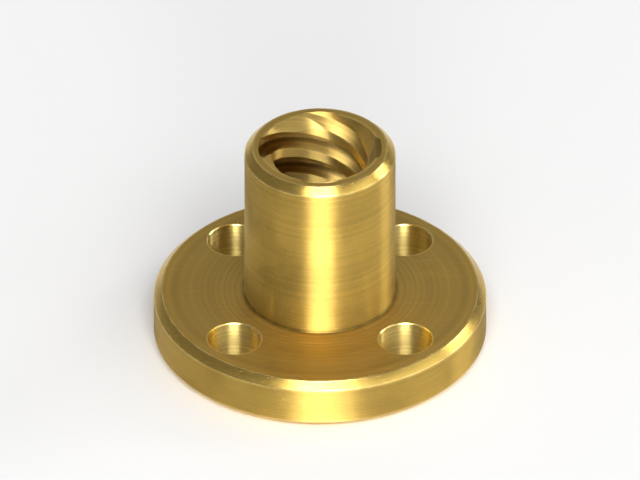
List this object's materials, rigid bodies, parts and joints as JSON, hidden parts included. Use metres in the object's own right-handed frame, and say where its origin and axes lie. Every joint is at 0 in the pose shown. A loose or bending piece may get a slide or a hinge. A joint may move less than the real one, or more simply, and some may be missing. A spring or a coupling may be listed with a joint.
{
  "type": "lead screw nut",
  "caption": "Flanged brass nut that turns a lead screw's rotation into travel: a threaded sleeve on a round bolt flange.",
  "frame": {"origin": "centre of the bore at the flange's bottom face, which is the nut's lowest face", "axes": "+Z along the bore from the flange towards the sleeve's free end; +X and +Y point between the bolt holes, and a thread groove opens on the top face at +X"},
  "size_m": [0.022, 0.022, 0.015],
  "materials": {
    "brass": "turned, fine lathe marks, semi-gloss"
  },
  "bodies": {
    "root": {"flanged_nut": "brass"}
  },
  "joints": []
}
